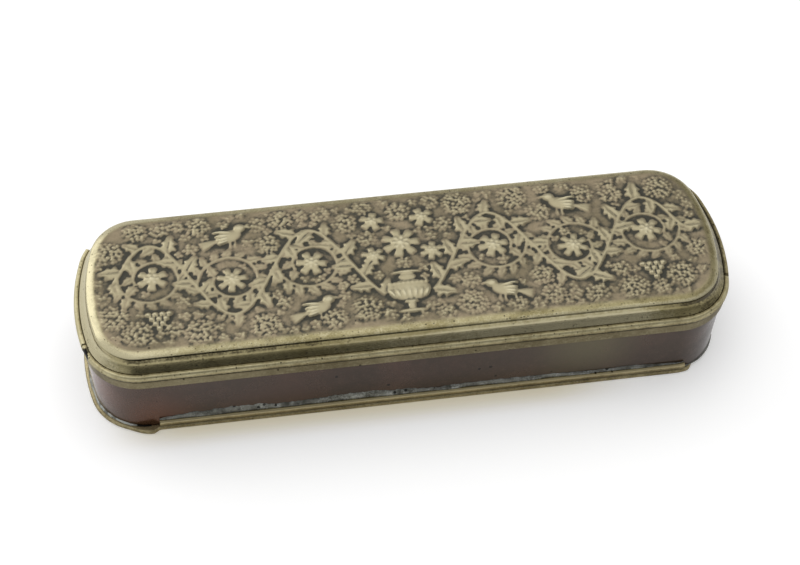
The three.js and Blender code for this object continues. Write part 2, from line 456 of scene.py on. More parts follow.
def tarnish_group():
    """Clouded old metal: two colours in patches, with fine speckle and small dark pits."""
    group, given = new_group(
        "tarnish", "Shader",
        {"Vector": ["Place"], "Color": ["Bright", "Dull", "Pit colour"],
         "Float": ["Patch scale", "Speckle scale", "Pit scale", "Pit share"]},
        {"Color": ["Color"], "Float": ["Clouding", "Pits", "Height"]})
    where = given["Place"]
    clouding = where.noise(given["Patch scale"], 6.0, 0.6, 0.4).step(0.36, 0.64)
    speckle = where.noise(given["Speckle scale"], 3.0, 0.7)
    mixed = clouding * 0.75 + speckle.step(0.35, 0.7) * 0.25
    base = mixed.blend(given["Bright"], given["Dull"])
    cells = place(group, "ShaderNodeTexVoronoi", {
        "Vector": where, "Scale": given["Pit scale"], "Randomness": 1.0})
    chosen = place(group, "ShaderNodeSeparateColor", {"Color": cells["Color"]})
    pits = (chosen["Red"] < given["Pit share"]) * (cells["Distance"] < chosen["Green"] * 0.34)
    place(group, "NodeGroupOutput", {
        "Color": (pits * 0.8).blend(base, given["Pit colour"]), "Clouding": mixed, "Pits": pits,
        "Height": speckle * 0.35 - pits})
    return group


def wear_and_light_group():
    """Lightens places with a high level, save round their pits, and darkens low ones: the levels hold wear
    with painted highlight, and grime with painted shade; below minus one is near black.
    """
    group, given = new_group(
        "wear_and_light", "Shader",
        {"Vector": ["Place"], "Color": ["Color", "Rubbed and lit colour", "Grime and shade colour"],
         "Float": ["Wear and light level", "Strength", "Pits"]},
        {"Color": ["Color"], "Float": ["Rubbed and lit"]})
    where, wear_and_light_level, strength = given["Place"], given["Wear and light level"], given["Strength"]
    strewn = where.noise(420.0, 4.0, 0.65) + where.noise(2400.0, 2.0, 0.6) - 1.0
    uneven = wear_and_light_level + strewn * 0.9
    rubbed_and_lit = uneven.step(0.45, 1.05) * (strength - given["Pits"] * 0.6).at_least(0.0)
    grimy_and_shaded = uneven.step(0.42, -0.15) * strength
    light = rubbed_and_lit.blend(given["Color"], given["Rubbed and lit colour"])
    dark = grimy_and_shaded.blend(light, given["Grime and shade colour"])
    place(group, "NodeGroupOutput", {
        "Color": wear_and_light_level.step(-1.0, -1.5).blend(dark, NEAR_BLACK), "Rubbed and lit": rubbed_and_lit})
    return group


TARNISH = tarnish_group()
WEAR_AND_LIGHT = wear_and_light_group()


def tarnish(where, bright, dull, pit, patch, pit_scale, pit_share, speckle=1500.0):
    return place(where.tree, "ShaderNodeGroup", {
        "Place": where, "Bright": srgb(*bright), "Dull": srgb(*dull), "Pit colour": srgb(*pit),
        "Patch scale": patch, "Speckle scale": speckle, "Pit scale": pit_scale,
        "Pit share": pit_share}, node_tree=TARNISH)


def wear_and_light(where, colour, rubbed_and_lit, grime_and_shade, strength, pits):
    return place(where.tree, "ShaderNodeGroup", {
        "Place": where, "Color": colour, "Wear and light level": attribute(where.tree, "wear_and_light_level"),
        "Rubbed and lit colour": srgb(*rubbed_and_lit), "Grime and shade colour": srgb(*grime_and_shade), "Strength": strength,
        "Pits": pits}, node_tree=WEAR_AND_LIGHT)


def attribute(tree, name):
    return place(tree, "ShaderNodeAttribute", attribute_name=name)["Fac"]


def new_material(name):
    material = bpy.data.materials.new(name)
    material.use_nodes = True
    tree = material.node_tree
    where = place(tree, "ShaderNodeTexCoord")["Object"]
    return material, tree.nodes["Principled BSDF"], where


def bump(height, depth):
    return place(height.tree, "ShaderNodeBump", {
        "Height": height, "Distance": depth * MM, "Strength": 1.0})


def nearness(where, centre, reach):
    away = where.vector("DISTANCE", [c * MM for c in centre])
    return away.step(reach * MM, 0.0)


def patched(colour, where, patches):
    """Lays soft patches over a colour: (patch levels, centre, reach, strength) in millimetres."""
    for levels, centre, reach, strength in patches:
        colour = (nearness(where, centre, reach) * strength).blend(colour, srgb(*levels))
    return colour


METALLIC, COAT_ROUGHNESS = 0.9, 0.08
CLOUD_ROUGHNESS, PIT_ROUGHNESS, RUB_POLISH = 0.22, 0.3, 0.1


def old_metal(name, bright, dull, rubbed_and_lit, grime_and_shade, roughness, patch=60.0, pit_share=0.06,
              pit_scale=700.0, rub_and_light=0.8, depth=0.03, coat=0.0, patches=(), glossy=None):
    """Aged metal; glossy is the centre and reach of a place with more coat, in millimetres."""
    material, surface, where = new_material(name)
    clouded = tarnish(where, bright, dull, grime_and_shade, patch, pit_scale, pit_share)
    colour, pits = patched(clouded["Color"], where, patches), clouded["Pits"]
    touched = wear_and_light(where, colour, rubbed_and_lit, grime_and_shade, rub_and_light, pits)
    polished = clouded["Clouding"] * CLOUD_ROUGHNESS + roughness - touched["Rubbed and lit"] * RUB_POLISH
    feed(surface, {
        "Base Color": touched["Color"], "Metallic": METALLIC, "Normal": bump(clouded["Height"], depth),
        "Roughness": polished + pits * PIT_ROUGHNESS, "Coat Roughness": COAT_ROUGHNESS,
        "Coat Weight": nearness(where, *glossy) * (1 - coat) + coat if glossy else coat})
    return material


MOULDING_BRASS = old_metal(
    "moulding_brass", (168, 158, 122), (138, 127, 92), (194, 186, 150), (40, 34, 20), 0.46,
    pit_scale=1400.0, pit_share=0.35)
BASE_BRASS = old_metal(
    "base_brass", (138, 127, 92), (106, 95, 64), (180, 168, 132), (44, 38, 22), 0.36)
HINGE_BRASS = old_metal(
    "hinge_brass", (142, 132, 98), (106, 96, 66), (176, 166, 130), (42, 36, 24), 0.33)
# The collar is the moulding brass made darker: painted shade for the upright band under the lid
COLLAR_BRASS_SHADED = old_metal(
    "collar_brass_shaded", (122, 113, 86), (98, 89, 64), (146, 137, 108), (44, 37, 22), 0.34)
BEARER_BRASS = old_metal(
    "bearer_brass", (130, 121, 90), (98, 89, 62), (146, 137, 108), (44, 37, 22), 0.36, rub_and_light=0.0)
SOLDER = old_metal(
    "solder", (124, 125, 119), (78, 78, 71), (180, 183, 178), (28, 29, 27), 0.42,
    patch=300.0, pit_share=0.25, depth=0.08)
FRONT_FACE = (WALL_IN - HALF_W) / MM
# Of the copper's patches, the two pale ones at the right of the front and the reddish one at the left end
# are painted reflections; the reddish one low at the front and the grey one are tints
COPPER = old_metal(
    "copper", (70, 50, 39), (54, 43, 34), (94, 72, 60), (28, 23, 20), 0.2,
    patch=38.0, pit_share=0.02, rub_and_light=0.35, depth=0.012, coat=0.42, glossy=((-81.5, -7, 11), 13), patches=(
        ((82, 70, 57), (40, FRONT_FACE, 12), 36, 0.45),
        ((98, 92, 66), (43, FRONT_FACE, 14), 17, 0.65),
        ((116, 70, 51), (-76.5, -15.5, 11), 11, 0.7),
        ((112, 68, 48), (-64, FRONT_FACE, 3), 14, 0.6),
        ((76, 68, 62), (-50, FRONT_FACE, 17), 30, 0.3)))


def lid_brass():
    """Pressed brass: pale on the raised work, palest on the crests with wear and a painted highlight, brown
    on the ground, slate dark in the hollows; the rim takes its painted sheen and shade.
    """
    material, surface, where = new_material("stamped_brass")
    clouded = tarnish(where, (139, 126, 103), (107, 98, 77), (52, 48, 40), 70.0, 900.0, 0.05, 1300.0)
    edging = tarnish(where, (162, 153, 116), (128, 118, 80), (52, 44, 26), 60.0, 1400.0, 0.35)
    hollow, crest, rim = (attribute(where.tree, name) for name in ("hollow", "crest", "rim"))
    uneven = (where.noise(900.0, 3.0, 0.7) - 0.5) * 0.5
    lifted = crest + uneven
    raised = lifted.step(0.1, 0.8)
    pale = raised.blend(clouded["Color"], srgb(154, 145, 117))
    # Crests palest: wear and a painted highlight
    bright = lifted.step(0.8, 1.5).blend(pale, srgb(182, 174, 145))
    shade = (hollow + uneven).step(0.03, 0.45)
    sunk = shade.blend(bright, srgb(69, 68, 60))
    ground = rim.blend(sunk, edging["Color"])
    # The rim lightens and darkens with its levels of wear, painted sheen and painted shade
    touched = wear_and_light(where, ground, (186, 178, 146), (44, 37, 20), rim * 0.9, edging["Pits"])
    feed(surface, {
        "Base Color": touched["Color"], "Metallic": 0.85, "Normal": bump(clouded["Height"], 0.04),
        "Roughness": shade * 0.25 + 0.36 - (raised * 0.08 + rim * 0.14)})
    return material


STAMPED_BRASS = lid_brass()


# Die for the lid: raised forms over a flat ground, in millimetres of the panel
DIE = bpy.data.collections.new("die")
bpy.context.scene.collection.children.link(DIE)
PILLOW_RINGS = (1.0, 0.94, 0.84, 0.68, 0.45, 0.2)


def die_object(name, points, faces=(), edges=()):
    obj = mesh_object(name, np.asarray(points) * MM, faces, edges)
    bpy.context.scene.collection.objects.unlink(obj)
    DIE.objects.link(obj)
    return obj


class Forms:
    """Collects raised forms into one mesh."""

    def __init__(self):
        self.points, self.faces = [], []

    def pillow(self, outline, height, foot=-0.2, flatness=2.1):
        """Flat-topped form with rounded edges over a star-shaped outline."""
        outline = np.asarray(outline, float)
        centre, count, start = outline.mean(0), len(outline), len(self.points)
        self.points += [(*p, foot) for p in outline]
        for ring in PILLOW_RINGS:
            z = height * (1 - ring**flatness) ** (1 / flatness)
            self.points += [(*(centre + (p - centre) * ring), z) for p in outline]
        self.faces += skin(len(PILLOW_RINGS) + 1, count, start)
        top, middle = len(self.points) - count, len(self.points)
        self.points.append((*centre, height))
        self.faces += [(top + i, top + j, middle) for i, j in loop(count)]


def turned(points, degrees, at=(0, 0), scale=1.0, mirror=False):
    a = math.radians(degrees)
    spin = np.array([[math.cos(a), -math.sin(a)], [math.sin(a), math.cos(a)]])
    points = (np.asarray(points, float) * scale) @ spin.T
    return points * [-1 if mirror else 1, 1] + at


def ellipse(length, width, count=20, at=(0, 0)):
    a = round_angles(count)
    return np.stack([length / 2 * np.cos(a), width / 2 * np.sin(a)], 1) + at


def petal(length, width, count=24, notch=0.1):
    """Petal with its foot at the origin, pointing along +X."""
    a = round_angles(count)
    reach = 0.5 - 0.5 * np.cos(a)
    x = length * reach * (1 - notch * np.exp(-(((a - math.pi) / 0.35) ** 2)))
    y = width / 2 * np.sin(a) * (0.5 + 0.65 * reach)
    return np.stack([x, -y], 1)


def flower(forms, at, radius, petals=6, turn=0):
    for layer, (share, height) in enumerate(((1.0, 0.55), (0.55, 0.8))):
        for i in range(petals):
            heading = turn + 360 / petals * (i + 0.5 * layer)
            form = petal(radius * share * 0.96, radius * share * 3.7 / petals)
            forms.pillow(turned(form, heading, at), height)
    forms.pillow(ellipse(radius * 0.34, radius * 0.34, at=at), 0.98)


def bird(forms, at, scale=1.0, tilt=0, mirror=False):
    """Bird looking along +X, with its wing folded back over the body."""
    def part(outline, x, y, degrees, height):
        local = turned(outline, degrees, (x, y))
        forms.pillow(turned(local, tilt, at, scale, mirror), height)
    for i in range(3):
        part(petal(4.8, 1.1), -1.9, -0.4, 186 + 12 * i, 0.42 + 0.04 * i)
    part(ellipse(6.6, 3.7, 28), 0, 0, 20, 0.56)
    part(ellipse(2.8, 2.5), 2.75, 2.0, 10, 0.74)
    part(petal(1.9, 0.8), 5.1, 2.05, 172, 0.5)
    for i in range(4):
        part(petal(4.7 - 0.5 * i, 1.0), 1.3 - 0.25 * i, 1.15 - 0.68 * i, 172 + 8 * i, 0.94)
    for x in (0.3, 1.3):
        part(ellipse(2.2, 0.5, 10), x, -2.3, 82, 0.42)


def urn(forms, x, y):
    """Foot, stem, knop, bowl, neck and lip, then flutes on the bowl and a row of pearls."""
    for width, height, rise, z in (
            (7.4, 1.5, 0.0, 0.6), (2.3, 2.8, 1.6, 0.6), (3.8, 1.0, 2.8, 0.72), (11.4, 7.4, 6.6, 0.62),
            (4.8, 3.0, 10.8, 0.56), (7.8, 1.3, 12.4, 0.76)):
        forms.pillow(ellipse(width, height, 28, (x, y + rise)), z)
    for i in range(-3, 4):
        flute = ellipse(4.6 - 0.35 * abs(i), 1.15)
        forms.pillow(turned(flute, 90 - 7 * i, (x + 1.45 * i, y + 5.6)), 0.86)
    for i in range(-4, 5):
        forms.pillow(ellipse(0.85, 0.85, 8, (x + 1.15 * i, y + 8.9)), 0.84)


def grapes(forms, x, y, rows=4, size=1.7):
    for row in range(rows):
        for i in range(rows - row):
            across = x + (i - (rows - row - 1) / 2) * size
            forms.pillow(ellipse(size, size, 12, (across, y - row * size * 0.86)), 0.75)


def lobed_leaf(length=1.0, width=0.62, lobes=3, rib=0.035):
    """Leaf along +X: two scalloped halves beside a sunk rib."""
    forms = Forms()
    u = np.linspace(0.02, 1, 30)
    swell = np.sin(math.pi * u**0.8) ** 0.7 * (0.8 + 0.26 * np.cos(2 * math.pi * lobes * u + 0.6))
    along, across = length * (u - 0.1 * swell), rib + width / 2 * swell
    for side in (-1, 1):
        edge = np.stack([along, side * across], 1)
        spine = np.stack([length * u[::-3], np.full(len(u[::-3]), side * rib)], 1)
        forms.pillow(np.concatenate([edge, spine]), 0.1, foot=-0.04)
    bed = np.stack([along, 0.8 * across], 1)
    forms.pillow(np.concatenate([bed, bed[::-1] * [1, -1]]), 0.055, foot=-0.04)
    return forms


# Layout of the die: an urn in the middle and a vine scrolling out to both ends
WAVE_START, WAVE_LENGTH, WAVE_HEIGHT = 13, 20, 12.4
WAVE_SPAN, WAVE_FADE = (6, 72), (76, 8)
VOLUTES = ((23, 1), (43, -1), (62.5, 1))
VOLUTE_R, VOLUTE_END_R, VOLUTE_TURN = 8.8, 4.4, 400
VOLUTE_SHIFT = 1.4
STEM_R, CURL_R = 0.5, 0.4
STEM_LEAVES, CURL_LEAVES = (4.4, 6.4), (3.2, 4.4)
LEAF_SPACING, LEAF_ANGLE, LEAF_SWAY = 0.62, 50, (0.8, 1.25)
VINE_SEED = 3
FLOWER_R = 4.5
BIRDS = ((43, 13.0, 1.2, 4, True), (-43, 12.8, 1.2, 4, False), (23.5, -13.4, 1.15, 2, True),
         (-23, -13.4, 1.15, 6, False))
BUNCHES = ((61.5, -10), (-61.5, -10))
FILL_RADII = (3.8, 3.0, 2.3, 1.7, 1.2, 0.8)
FILL_TRIES = 1500
FILL_MARGIN, FILL_EDGE = 0.25, 0.6
FILL_CORNER, FILL_SQUEEZE = 6, 1.35
FILL_SEED = 11
GRAIN_SPACING, GRAIN_SIZES, GRAIN_DENSITY = 0.84, (0.72, 1.02), 5.0


def vine_paths(side):
    """Lines of the vine with stem radius and the side that leaves grow on, 0 for both."""
    x = np.linspace(*WAVE_SPAN, 120)
    y = WAVE_HEIGHT * np.sin(math.pi * (x - WAVE_START) / WAVE_LENGTH)
    y *= np.clip((WAVE_FADE[0] - x) / WAVE_FADE[1], 0, 1) ** 0.5
    paths = [(np.stack([side * x, y], 1), STEM_R, 0)]
    turn = np.linspace(0, VOLUTE_TURN, 100)
    radius = VOLUTE_R + (VOLUTE_END_R - VOLUTE_R) * (turn / VOLUTE_TURN) ** 0.85
    angle = np.radians(20 - turn)
    for centre, arch in VOLUTES:
        curl = np.stack([side * (centre + radius * np.cos(angle)),
                         arch * (VOLUTE_SHIFT + radius * np.sin(angle))], 1)
        paths.append((curl, CURL_R, side * arch))
    return paths


def vine_tree():
    tree, given = new_tree(
        "vine_with_leaves", Object=["Leaf"], Int=["Seed"], Material=["Metal"],
        Float=["Leaf spacing", "Leaf angle", "Leaf side", "Smallest leaf", "Largest leaf", "Stem radius"])
    path = curve_of(given["Geometry"])
    ring = place(tree, "GeometryNodeCurvePrimitiveCircle", {
        "Resolution": 10, "Radius": given["Stem radius"]})
    stem = place(tree, "GeometryNodeCurveToMesh", {"Curve": path, "Profile Curve": ring, "Fill Caps": True})
    buds = place(tree, "GeometryNodeCurveToPoints", {
        "Curve": path, "Length": given["Leaf spacing"]}, mode="LENGTH")
    alternate = place(tree, "GeometryNodeInputIndex") % 2.0 * 2.0 - 1.0
    side = given["Leaf side"] + alternate * (1.0 - abs(given["Leaf side"]))
    swing = side * given["Leaf angle"] * chance(*LEAF_SWAY, given["Seed"])
    along = place(tree, "FunctionNodeAlignRotationToVector", {"Vector": buds["Tangent"]}, axis="X")
    facing = place(tree, "FunctionNodeRotateRotation", {
        "Rotation": along, "Rotate By": turn_flat(swing)}, rotation_space="LOCAL")
    leaves = place(tree, "GeometryNodeInstanceOnPoints", {
        "Points": buds, "Instance": drawn(given["Leaf"]), "Rotation": facing,
        "Scale": chance(given["Smallest leaf"], given["Largest leaf"], given["Seed"] + 7.0)})
    return close_tree(joined(stem, leaves), given["Metal"])


def spray_tree():
    tree, given = new_tree(
        "grainy_bushes", Object=["Grain"], Int=["Seed"], Material=["Metal"],
        Float=["Grain spacing", "Smallest grain", "Largest grain"])
    seed = given["Seed"]
    grains = place(tree, "GeometryNodeDistributePointsOnFaces", {
        "Mesh": given["Geometry"], "Distance Min": given["Grain spacing"],
        "Density Max": GRAIN_DENSITY / MM**2, "Seed": seed}, distribute_method="POISSON")
    spread = place(tree, "GeometryNodeInstanceOnPoints", {
        "Points": grains, "Instance": drawn(given["Grain"]),
        "Rotation": turn_flat(chance(0.0, 2 * math.pi, seed)),
        "Scale": chance(given["Smallest grain"], given["Largest grain"], seed)})
    return close_tree(joined(given["Geometry"], spread), given["Metal"])


def free_places():
    """Discs of the panel that no form of the die covers yet, the largest first."""
    covered = [BVHTree.FromPolygons([v.co for v in o.data.vertices], [p.vertices for p in o.data.polygons])
               for o in DIE.objects]
    around = [(math.cos(a), math.sin(a)) for a in np.radians(range(0, 360, 30))]
    dice = np.random.default_rng(FILL_SEED)
    reach = Vector((HALF_L - PANEL_IN, HALF_W - PANEL_IN)) / MM + Vector((FILL_EDGE, FILL_EDGE))
    down, high = Vector((0, 0, -1)), 10 * MM
    found = []

    def is_free(x, y, radius):
        if any(math.hypot(x - a, y - b) < radius + r + FILL_MARGIN for a, b, r in found):
            return False
        past_x = max(0.0, abs(x) - CORNER_X / MM)
        past_y = max(0.0, abs(y) - FILL_CORNER)
        if math.hypot(past_x * FILL_SQUEEZE, past_y) > reach.y - FILL_CORNER - radius:
            return False
        probes = [(0, 0)] + [(c * s, d * s) for c, d in around for s in (radius + FILL_MARGIN, radius / 2)]
        spots = [Vector(((x + c) * MM, (y + d) * MM, high)) for c, d in probes]
        return not any(tree.ray_cast(spot, down)[0] for tree in covered for spot in spots)

    for radius in FILL_RADII:
        for x, y in dice.uniform((-reach.x, -reach.y), (reach.x, reach.y), (FILL_TRIES, 2)):
            if is_free(x, y, radius):
                found.append((x, y, radius))
    return found


def grow_vine(leaf):
    vine_nodes = vine_tree()
    lines = [line for side in (-1, 1) for line in vine_paths(side)]
    for i, (line, radius, leaf_side) in enumerate(lines):
        points = np.column_stack([line, np.zeros(len(line))])
        vine = die_object("die_vine", points, edges=loop(len(line))[:-1])
        small, large = CURL_LEAVES if leaf_side else STEM_LEAVES
        shape(vine, vine_nodes, {
            "Leaf": leaf, "Leaf spacing": LEAF_SPACING * large * MM, "Leaf angle": math.radians(LEAF_ANGLE),
            "Leaf side": leaf_side, "Smallest leaf": small * MM, "Largest leaf": large * MM,
            "Stem radius": radius * MM, "Seed": VINE_SEED + i, "Metal": STAMPED_BRASS})


def lay_forms():
    forms = Forms()
    urn(forms, 0, -17)
    flower(forms, (0, 5.2), 5.6, 7)
    for side in (-1, 1):
        flower(forms, (side * 7.4, 1.6), 3.5, 6, 20 * side)
        flower(forms, (side * 6.4, 13.2), 3.6, 5, 20 + 15 * side)
        for i, (centre, arch) in enumerate(VOLUTES):
            flower(forms, (side * centre, arch * VOLUTE_SHIFT), FLOWER_R, 6 + i % 2, 17 * i + 9 * side)
    for x, y, scale, tilt, mirror in BIRDS:
        bird(forms, (x, y), scale, tilt, mirror)
    for x, y in BUNCHES:
        grapes(forms, x, y)
    die_object("die_forms", forms.points, forms.faces)


def plant_bushes(grain):
    plots = Forms()
    a = round_angles(30)
    for i, (x, y, radius) in enumerate(free_places()):
        scallop = radius * (0.86 + 0.14 * np.abs(np.sin(a * 2.5 + i)))
        plots.pillow(np.stack([x + scallop * np.cos(a), y + scallop * np.sin(a)], 1), 0.12)
    bushes = die_object("die_bushes", plots.points, plots.faces)
    shape(bushes, spray_tree(), {
        "Grain": grain, "Grain spacing": GRAIN_SPACING * MM, "Smallest grain": GRAIN_SIZES[0] * MM,
        "Largest grain": GRAIN_SIZES[1] * MM, "Seed": FILL_SEED, "Metal": STAMPED_BRASS})


def make_die():
    """Builds the die and returns the leaf and the grain it was sown with."""
    leaf_forms, grain_forms = lobed_leaf(), Forms()
    grain_forms.pillow(ellipse(1.0, 0.8, 9), 0.66, flatness=2.4)
    leaf = mesh_object("die_leaf", leaf_forms.points, leaf_forms.faces)
    grain = mesh_object("die_grain", grain_forms.points, grain_forms.faces)
    grow_vine(leaf)
    lay_forms()
    plant_bushes(grain)
    return leaf, grain


def press_tree():
    """Lifts each point of the sheet to the top of the die below it."""
    tree, given = new_tree(
        "sheet_pressed_over_die", Collection=["Die"], Float=["Reach", "Height", "Shade depth"],
        Int=["Softness", "Shade spread"], Material=["Metal"])

    def stored(geometry, name, value):
        return place(tree, "GeometryNodeStoreNamedAttribute", {
            "Geometry": geometry, "Name": name, "Value": value}, data_type="FLOAT", domain="POINT")

    def named(name):
        return place(tree, "GeometryNodeInputNamedAttribute", {"Name": name}, data_type="FLOAT")

    def blurred(rounds):
        return place(tree, "GeometryNodeBlurAttribute", {
            "Value": named("relief"), "Iterations": given[rounds]}, data_type="FLOAT")

    def upward(length):
        return place(tree, "ShaderNodeCombineXYZ", {"Z": length})

    gathered = place(tree, "GeometryNodeCollectionInfo", {"Collection": given["Die"]})
    solid = place(tree, "GeometryNodeRealizeInstances", {"Geometry": gathered})
    start = place(tree, "GeometryNodeInputPosition").vector("MULTIPLY", (1, 1, 0))
    probe = place(tree, "GeometryNodeRaycast", {
        "Target Geometry": solid, "Source Position": start.vector("ADD", upward(given["Reach"])),
        "Ray Direction": (0, 0, -1), "Ray Length": given["Reach"]})
    level = place(tree, "ShaderNodeSeparateXYZ", {"Vector": probe["Hit Position"]})["Z"]
    wanted = level * probe["Is Hit"] * given["Height"] * named("field")
    held = stored(given["Geometry"], "relief", wanted.at_least(0.0))
    soft, wide = blurred("Softness"), blurred("Shade spread")
    marked = stored(held, "hollow", ((wide - soft) / given["Shade depth"]).at_least(0.0))
    crested = stored(marked, "crest", soft / (given["Shade depth"] * 2.0))
    pressed = place(tree, "GeometryNodeSetPosition", {"Geometry": crested, "Offset": upward(soft)})
    return close_tree(pressed, given["Metal"])


# Lid sheet; painted sheen and shade, with some wear, along the box are given as (strength, where it begins,
# where it is full) in millimetres
RIM_STEP = 0.5 * MM
GRID = 0.29 * MM
GRID_MARGIN = 0.15 * MM
UNDER_EVERY, UNDER_ROWS = 4, 14
LID_SHARP = 60
SPINE_HALF = 59 * MM
CREASE = 0.16 * MM
COVE_DEPTH = 0.1 * MM
# Levels on the wear scale for the bands of the rim: the cove, neck and crease are painted shade for their
# dark reflections, the shoulder wear and painted sheen
COVE_SHADE_LEVEL, NECK_SHADE_LEVEL, CREASE_SHADE_LEVEL, SHOULDER_WEAR_AND_SHEEN, PANEL_RUB = 0.36, 0.05, -0.5, 0.6, 0.45
# Along the box: neck and cove lighter from left of the middle rightwards and at the left corner as painted
# reflections, darker at the right end as painted shade; painted highlight on the left shoulder; on the
# right shoulder painted sheen low and painted shade high
NECK_SHEEN_AND_SHADE = ((0.75, -50, 45), (0.75, -68, -79), (-1.0, 50, 74))
LEFT_SHOULDER_SHEEN = (0.6, -50, -76)
RIGHT_SHEEN, RIGHT_SHADE, RIGHT_SPAN = 0.4, 0.7, (0, 60)
SHOULDER = (
    (0, 0), (0.03, 0.12), (0.1, 0.25), (0.25, 0.43), (0.45, 0.64), (0.65, 0.84), (0.82, 0.95), (1, 1))


def lid_sections():
    """Top of the sheet from its edge up to the panel: (inset, z, level of wear and painted light, share of
    rim).
    """
    neck_foot = NECK_IN - NECK_LEAN
    share = np.linspace(0, 1, 8)
    hollow = COVE_DEPTH * np.sin(math.pi * share)
    cove = np.stack([LID_EDGE + (neck_foot - LID_EDGE) * share + 0.8 * hollow,
                     BEAD_TOP + (COVE_TOP - BEAD_TOP) * share - 0.4 * hollow], 1)
    rows = [(LID_EDGE, BEAD_TOP - LID_T, 0.2, 1.0)]
    rows += [(inset, z, COVE_SHADE_LEVEL, 1.0) for inset, z in cove]
    for share in (0.3, 0.6, 0.85):
        z = COVE_TOP + share * (NECK_TOP - COVE_TOP)
        rows.append((neck_foot + share * NECK_LEAN, z, NECK_SHADE_LEVEL, 1.0))
    rows.append((NECK_IN + CREASE, NECK_TOP - 0.5 * CREASE, CREASE_SHADE_LEVEL, 1.0))
    for over, up in SHOULDER:
        z = NECK_TOP + up * (GROUND_Z - NECK_TOP)
        rows.append((NECK_IN + over * SHOULDER_W, z, SHOULDER_WEAR_AND_SHEEN, 1 - smooth_step(over, 0.5, 1)))
    return rows


def panel_grid(border):
    """Square grid that fills the panel: its points, its faces and the edges around it."""
    half = border[border[:, 0] > 0]
    half = half[np.argsort(half[:, 1])]
    x, y = np.meshgrid(*(np.arange(-n, n + 1) * GRID for n in (border.max(0) / GRID).astype(int)))
    inside = np.abs(x) < np.interp(y, half[:, 1], half[:, 0])
    number = np.arange(x.size).reshape(x.shape)
    low, high = slice(-1), slice(1, None)
    corners = (low, low), (low, high), (high, high), (high, low)
    cells = np.all([inside[corner] for corner in corners], 0)
    quads = np.stack([number[corner] for corner in corners], -1)[cells]
    used, quads = np.unique(quads, return_inverse=True)
    quads = quads.reshape(-1, 4)
    sides = np.sort(np.concatenate([quads[:, pair] for pair in loop(4)]), 1)
    sides, times = np.unique(sides, axis=0, return_counts=True)
    return np.stack([x.ravel(), y.ravel()], 1)[used], quads, sides[times == 1]


def fill_between(points, edges):
    """Triangles that fill the ring between two closed loops."""
    work = bmesh.new()
    corners = [work.verts.new((*p, 0)) for p in points]
    work.verts.index_update()
    loops = [work.edges.new((corners[a], corners[b])) for a, b in edges]
    made = bmesh.ops.triangle_fill(work, edges=loops, use_beauty=True)["geom"]
    faces = [tuple(v.index for v in f.verts) for f in made if isinstance(f, bmesh.types.BMFace)]
    work.free()
    return faces


# Painted sheen and shade of the rim, with some wear, by place along the box and height
def lid_sheen_and_shade(x, z):
    up = smooth_step((z - NECK_TOP) / (GROUND_Z - NECK_TOP), 0.3, 0.65)
    shoulder = LEFT_SHOULDER_SHEEN, (RIGHT_SHEEN - RIGHT_SHADE * up, *RIGHT_SPAN)
    light_bands = NECK_SHEEN_AND_SHADE if z < NECK_TOP else shoulder
    return sum(strength * smooth_step(x / MM, begin, full) for strength, begin, full in light_bands)


def make_lid():
    at, out = trace(*ALL_ROUND, RIM_STEP)
    at = at[: len(at) // UNDER_EVERY * UNDER_EVERY]
    out = out[: len(at)]
    few = np.arange(0, len(at), UNDER_EVERY)
    count, size = len(at), len(few)
    ends = END_INSET * out[:, :1] ** 2
    rows, marks = [], []

    def add_row(flat, z, rub_and_light, field, rim):
        wear_and_light_level = rub_and_light + rim * lid_sheen_and_shade(flat[:, 0], z)
        rows.append(np.column_stack([flat, np.full(len(flat), z)]))
        marks.append(np.stack(np.broadcast_arrays(wear_and_light_level, field, rim)))

    def add_sections(which, drop, sections):
        for inset, z, rub_and_light, rim in sections:
            field = smooth_step(inset, PANEL_IN - 0.5 * SHOULDER_W, PANEL_IN)
            reach = inset + drop + ends[which] * smooth_step(inset, LID_EDGE, NECK_IN)
            add_row(at[which] - out[which] * reach, z - drop, rub_and_light, field, rim)

    add_sections(slice(None), 0.0, lid_sections())
    top = len(rows)
    faces = skin(top, count)
    border = at - out * (PANEL_IN + ends)
    grid, quads, sides = panel_grid(border - out * GRID_MARGIN)
    add_row(grid, GROUND_Z, PANEL_RUB, 1.0, 0.0)
    faces += [tuple(q) for q in (quads + top * count).tolist()]
    rings = loop(count) + (sides + count).tolist()
    last = (top - 1) * count
    faces += [tuple(last + i for i in f) for f in fill_between(np.concatenate([border, grid]), rings)]

    start = top * count + len(grid)
    under = lid_sections()[1::3]
    add_sections(few, LID_T, under)
    begin = border[few]
    spine = np.column_stack([np.clip(begin[:, 0], -SPINE_HALF, SPINE_HALF), np.zeros(size)])
    for k in range(UNDER_ROWS + 1):
        add_row(begin + (spine - begin) * k / UNDER_ROWS, GROUND_Z - LID_T, PANEL_RUB, 0.0, 0.0)
    faces += skin(len(under) + UNDER_ROWS + 1, size, start)
    for here, there in loop(size):
        edge = range(here * UNDER_EVERY, (here + 1) * UNDER_EVERY)
        faces += [(start + here, (i + 1) % count, i) for i in edge]
        faces.append((start + here, start + there, there * UNDER_EVERY))
    lid = mesh_object("lid_sheet", np.concatenate(rows), faces)
    for name, values in zip(("wear_and_light_level", "field", "rim"), np.concatenate(marks, 1)):
        set_attribute(lid, name, values)
    return lid


def build_lid():
    tools = make_die()
    lid = settle(make_lid(), LID_SHARP)
    shape(lid, press_tree(), {
        "Die": DIE, "Reach": 10 * MM, "Height": 0.8, "Softness": 1, "Shade spread": 25,
        "Shade depth": 0.24 * MM, "Metal": STAMPED_BRASS})
    settle(lid, LID_SHARP)
    discard(*tools, *list(DIE.objects))
    bpy.data.collections.remove(DIE)
    finish_piece(lid, "lid", "stamped_brass", "lid_plate")


